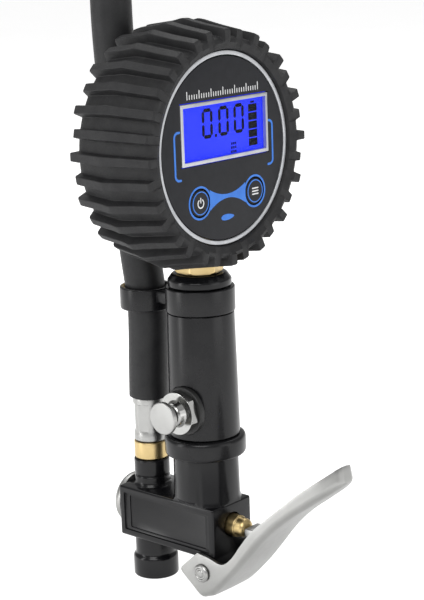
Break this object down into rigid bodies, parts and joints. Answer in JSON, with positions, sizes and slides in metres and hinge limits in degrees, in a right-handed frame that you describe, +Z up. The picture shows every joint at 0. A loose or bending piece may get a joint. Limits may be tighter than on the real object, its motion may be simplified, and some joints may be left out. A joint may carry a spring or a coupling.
{
  "type": "tyre inflator with gauge",
  "caption": "Hand-held tyre inflator: lever valve under a round handle, digital gauge in a ribbed rubber boot, side bleed valve and a stiff rubber hose with an air chuck.",
  "frame": {"origin": "centre of the air inlet's mouth, where the air line screws in and holds the tool up", "axes": "+Z up along the handle, -Y towards the gauge's face and the lever, -X towards the bleed valve"},
  "size_m": [0.118, 0.1706, 0.259],
  "materials": {
    "black_cast": "glossy black enamel",
    "black_grip": "satin black",
    "boot_rubber": "matt, ribbed",
    "hose_rubber": "matt",
    "brass": "turned",
    "chrome": "bright nickel-chrome",
    "silver_trim": "satin",
    "face_panel": "printed panel",
    "case_plastic": "moulded",
    "screen_blue": "backlit blue",
    "clear_lens": "clear",
    "circuit_board": "solder mask",
    "battery_jacket": "printed foil",
    "spring_steel": "drawn wire",
    "seal_rubber": "moulded",
    "button_rubber": "satin"
  },
  "bodies": {
    "body": {"air_chuck": "brass", "battery_1": "battery_jacket", "battery_2": "battery_jacket", "battery_door": "case_plastic", "bezel_ring": "silver_trim", "bleed_nut": "chrome", "bleed_spring": "spring_steel", "bleed_washer": "seal_rubber", "chuck_ferrule": "chrome", "chuck_seal": "seal_rubber", "circuit_board": "circuit_board", "display": "screen_blue", "face_panel": "face_panel", "function_switch": "silver_trim", "gauge_boot": "boot_rubber", "gauge_case": "case_plastic", "gauge_stem": "brass", "handle_cap": "black_cast", "handle_collar": "black_grip", "handle_tube": "black_grip", "hose": "hose_rubber", "hose_clip": "black_grip", "hose_ferrule": "chrome", "hose_fitting": "brass", "lever_pin": "chrome", "on_switch": "silver_trim", "plunger_bush": "brass", "plunger_seal": "seal_rubber", "poppet_spring": "spring_steel", "pressure_sensor": "silver_trim", "screen_frame": "silver_trim", "screen_lens": "clear_lens", "stem_lock_nut": "brass", "valve_body": "black_cast", "valve_end_cap": "chrome", "valve_seat": "brass"},
    "lever": {"lever": "chrome"},
    "plunger": {"plunger": "brass", "poppet": "seal_rubber"},
    "bleed_button": {"bleed_button": "chrome"},
    "on_button": {"on_button": "button_rubber"},
    "function_button": {"function_button": "button_rubber"}
  },
  "joints": [
    {"name": "lever_pivot", "type": "hinge", "parent": "body", "child": "lever", "pos_m": [0, -0.0318, 0.0109], "axis": [-1, 0, 0], "range_deg": [0, 12], "stiffness_Nm_per_rad": 0.3, "springref_deg": -28.65},
    {"name": "plunger_slide", "type": "slide", "parent": "body", "child": "plunger", "axis": [0, 1, 0], "range_m": [0, 0.0031], "deforming": ["poppet_spring"]},
    {"name": "bleed_slide", "type": "slide", "parent": "body", "child": "bleed_button", "axis": [1, 0, 0], "range_m": [0, 0.002], "stiffness_N_per_m": 300, "springref_m": -0.004, "deforming": ["bleed_spring"]},
    {"name": "on_press", "type": "slide", "parent": "body", "child": "on_button", "axis": [0, 1, 0], "range_m": [0, 0.0005], "stiffness_N_per_m": 800, "springref_m": -0.0005},
    {"name": "function_press", "type": "slide", "parent": "body", "child": "function_button", "axis": [0, 1, 0], "range_m": [0, 0.0005], "stiffness_N_per_m": 800, "springref_m": -0.0005}
  ],
  "couplings": [
    {"joint": "plunger_slide", "follows": "lever_pivot", "m_per_rad": 0.0148}
  ]
}
